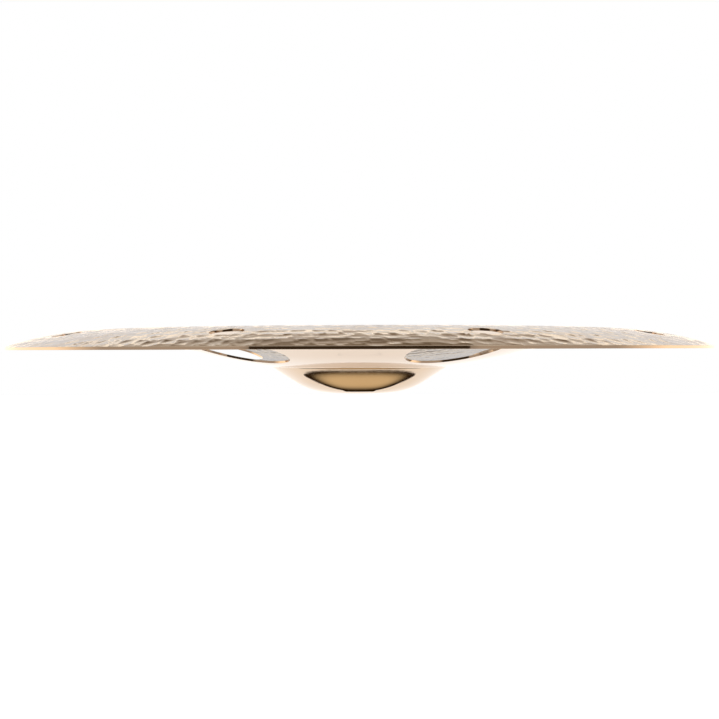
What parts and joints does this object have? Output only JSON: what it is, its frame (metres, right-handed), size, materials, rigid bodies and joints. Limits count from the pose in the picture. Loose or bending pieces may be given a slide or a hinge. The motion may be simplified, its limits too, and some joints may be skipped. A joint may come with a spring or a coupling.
{
  "type": "china cymbal",
  "caption": "Thin spun bronze cymbal with a turned-back rim, a flat-crowned bell with a central bore, large round holes in the bow and small ones in the flange.",
  "frame": {"origin": "centre of the bore, on the outside face of the bell's flat crown, which is the lowest point", "axes": "+Z along the bore axis, from the bell towards the rim; -Y is the front"},
  "size_m": [0.4572, 0.4572, 0.0417],
  "materials": {
    "bronze": "mirror polished outside, hand hammered and brushed inside"
  },
  "bodies": {
    "root": {"cymbal_sheet": "bronze"}
  },
  "joints": []
}
